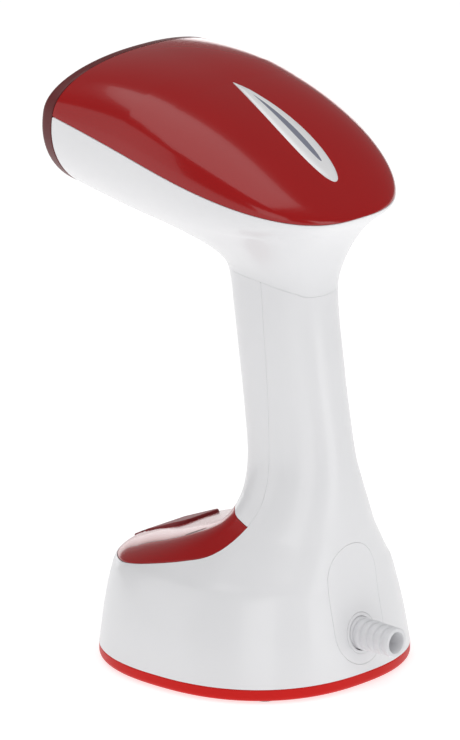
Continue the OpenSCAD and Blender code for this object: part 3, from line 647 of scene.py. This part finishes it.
# Filler flap
def flap_point(x, y, z):
    a = math.radians(FLAP_SLOPE)
    return np.stack([x, HINGE_Y + y * math.cos(a) - z * math.sin(a),
                     HINGE_Z + y * math.sin(a) + z * math.cos(a)], -1)


def flap_ring(off, down, bottom=False):
    c = 5.0
    hw, end = FLAP_W - off, FLAP_L - off
    side = np.linspace(-0.2 + off, FLAP_L - c, 20)
    arc = np.linspace(0, math.pi / 2, 17)[1:-1]
    r = max(c - off, 0.05)
    back = np.linspace(hw - r, r - hw, 20)
    front = np.linspace(-hw, hw, 22)[1:-1]
    x = np.concatenate([np.full(20, hw), hw - r + r * np.cos(arc), back, r - hw - r * np.sin(arc),
                        np.full(20, -hw), front])
    y = np.concatenate([side, end - r + r * np.sin(arc), np.full(20, end), end - r + r * np.cos(arc),
                        side[::-1], np.full(20, -0.2 + off)])
    top = 3.2 - np.maximum(20 - y, 0) * math.tan(math.radians(2.8))
    z = np.full(len(x), 1.62) if bottom else np.maximum(top - down, 1.62)
    return flap_point(x, y, z)


R = 0.6
rings = [flap_ring(1.2, 0, True), flap_ring(0, 0, True)]
rings += [flap_ring(R * (1 - math.cos(a)), R * (1 - math.sin(a))) for a in np.linspace(0, math.pi / 2, 7)]
rings += [flap_ring(k, 0) for k in (1.2, 2, 3, 4.2)]
o = loft("flap_plate", rings, "red_textured", "flap", cap_start=True, cap_end=True, sharp=70)
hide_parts("filler_flap")
pieces.append(o)

# Shallow slot on each shoulder of the tank cover, drawn as a thin dark sliver laid 0.05 mm over the skin:
# painted shade for the shadowed inside of the slot, not a cut
uu, tt = np.meshgrid(np.linspace(4, 9, 400), np.linspace(math.pi, TAU, 700), indexing="ij")
skin = body_at(uu, tt)
for name, side in (("slot_a", 1), ("slot_b", -1)):
    ends = []
    for x, y, z in ((33.5, -12.0, 60.2), (31.3, -1.5, 65.3)):
        k = np.argmin(((skin - np.array([x * side, y, z])) ** 2).sum(-1))
        ends.append((uu.flat[k], tt.flat[k]))
    (ua, ta), (ub, tb) = ends
    a = np.linspace(0, 1, 40)
    mid = body_at(ua + (ub - ua) * a, ta + (tb - ta) * a)
    du = body_at(ua + (ub - ua) * a + 0.01, ta + (tb - ta) * a) - mid
    along = unit(np.gradient(mid, axis=0))
    across = unit(du - (du * along).sum(1)[:, None] * along)
    out = unit(np.cross(across, along))
    out *= np.sign(out[:, 2:3])
    half = 0.42 * np.sqrt(np.maximum(1 - (2 * a - 1) ** 4, 0))[:, None]
    rows = np.stack([mid + k * half * across + 0.05 * out for k in (-1, 0, 1)], 1).reshape(-1, 3)
    f = [[3 * i + j, 3 * i + j + 1, 3 * i + j + 4, 3 * i + j + 3] for i in range(39) for j in range(2)]
    # The sliver takes the dark_rubber finish only as painted shade in the slot
    pieces.append(make(name, rows, f, "housing", "dark_rubber"))

# The flap's hinge barrel
a = np.linspace(0, TAU, 48, endpoint=False)
rings = [np.stack([np.full(48, x), HINGE_Y + 1.9 * np.cos(a), HINGE_Z + 1.9 * np.sin(a)], -1) for x in (-10, 10)]
pieces.append(loft("flap_barrel", rings, "red_textured", "flap", cap_start=True, cap_end=True, sharp=40))

# Ribbed guard and its socket
ribs, pitch = 5, 3.8
outer = [(-6, 4.55), (-6, 8.4), (-4.2, 8.4), (-4.2, 7.0), (0.4, 7.0)]
for i in range(ribs):
    f = (i + 0.5) / ribs
    r = 7.15 - 0.6 * f
    y = 1.0 + i * pitch
    core = 6.3 - 0.5 * f
    outer += [(y - 0.05, core), (y + 0.1, r - 0.25), (y + 0.35, r), (y + pitch * 0.5, r),
              (y + pitch * 0.6, r - 0.25), (y + pitch * 0.66, core)]
outer += [(20.0, 5.8), (20.1, 6.3), (20.4, 6.5), (22.4, 6.5), (22.85, 6.2), (23.0, 5.7), (22.9, 4.8),
          (22.5, 4.55)]
o = turned("guard_ribs", outer, (0, PANEL_Y, GUARD_Z), "white_soft")
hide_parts("cord_guard")
pieces.append(o)


def lip_field(p, uv):
    d = np.hypot(p[:, 0], p[:, 2] - GUARD_Z)
    return np.where(p[:, 1] > 30, np.minimum(8.85 - d, d - 7.3), -60.0)


def lip_at(u, t):
    return body_at(u, t) + np.array([0, 0.15, 0])


pieces.append(shell("guard_socket", lip_at, lip_field, np.linspace(0, 2, 90),
                    np.linspace(math.radians(70), math.radians(110), 90), "white_gloss", 0.3, gap=0.02,
                    flip=-1))

# Textured bed in front of the flap's hinge
xs, ys = np.meshgrid(np.linspace(-13, 13, 40), np.linspace(-7.0, -2.6, 16), indexing="ij")
NX, NY = xs.shape
top = 1.15 + (ys + 7.0) * 0.155 - 0.12 * np.clip((np.abs(xs) - 12.2) / 0.8, 0, 1) ** 2
bed = flap_point(xs, ys, top).reshape(-1, 3)
f = [[NY * i + j, NY * (i + 1) + j, NY * (i + 1) + j + 1, NY * i + j + 1]
     for i in range(NX - 1) for j in range(NY - 1)]
rim = [NY * i for i in range(NX)] + [NY * (NX - 1) + j for j in range(1, NY)]
rim += [NY * i + NY - 1 for i in range(NX - 2, -1, -1)] + list(range(NY - 2, 0, -1))
low = bed[rim] - np.array([0, 0, 2.0])
M = len(rim)
f += [[rim[i], NX * NY + i, NX * NY + (i + 1) % M, rim[(i + 1) % M]] for i in range(M)]
o = make("flap_bed", np.concatenate([bed, low]), f, "housing", "red_textured")
o.modifiers.new("edges", "EDGE_SPLIT").split_angle = math.radians(40)
pieces.append(o)

# Every CAD node that stays in view takes its procedural material
slots = {s["node"]: s["material_slot"] for s in frame["record"]["subparts"]}
for name, node in frame["nodes"].items():
    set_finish(node, slots[name])
    finish(node)
for o in pieces:
    finish(o)

# ---------------------------------------------------------------- studio
def area(name, where, aim, size, power, colour=(1, 1, 1), spread=180):
    light = bpy.data.lights.new(name, "AREA")
    light.shape = "RECTANGLE"
    light.size, light.size_y = size
    light.energy = power
    light.color = colour
    light.spread = math.radians(spread)
    o = bpy.data.objects.new(name, light)
    o.location = where
    o.rotation_euler = (Vector(aim) - Vector(where)).to_track_quat("-Z", "Y").to_euler()
    bpy.context.scene.collection.objects.link(o)
    return o


floor = bpy.data.meshes.new("floor")
floor.from_pydata([(-6, -6, 0), (6, -6, 0), (6, 6, 0), (-6, 6, 0)], [], [(0, 1, 2, 3)])
floor = bpy.data.objects.new("floor", floor)
bpy.context.scene.collection.objects.link(floor)
m, nt, b = principled("floor", (0.5, 0.5, 0.5), 0.8, Emission_Color=(1, 1, 1, 1), Emission_Strength=0.72)
floor.data.materials.append(m)

world = bpy.data.worlds.new("studio")
world.use_nodes = True
nt = world.node_tree
bg = nt.nodes["Background"]
bg.inputs["Color"].default_value = (1, 1, 1, 1)
bg.inputs["Strength"].default_value = 0.24
bpy.context.scene.world = world
area("overhead", (0.3, 0.1, 2.0), (0, 0, 0.1), (2.4, 2.4), 26)
area("left", (2.0, -1.7, 0.9), (0, 0, 0.12), (1.9, 1.6), 7)
area("right", (-0.6, 2.0, 0.6), (0, 0, 0.1), (1.0, 1.3), 8)
area("back_low", (-1.4, -2.0, 0.22), (0, 0, 0.1), (2.6, 0.44), 6)
area("camera_side", (2.2, 2.0, 0.5), (0, 0, 0.1), (1.8, 1.2), 9)

cam = bpy.data.cameras.new("camera")
cam.sensor_fit = "VERTICAL"
cam.sensor_width = cam.sensor_height = 36
cam.lens = 389.2
cam.clip_end = 30
cam = bpy.data.objects.new("camera", cam)
cam.location = (2.4533, 2.2022, 1.1246)
cam.rotation_euler = (Vector((0, -0.0161, 0.126)) - cam.location).to_track_quat("-Z", "Y").to_euler()
bpy.context.scene.collection.objects.link(cam)
bpy.context.scene.camera = cam
bpy.context.scene.view_settings.view_transform = "Standard"
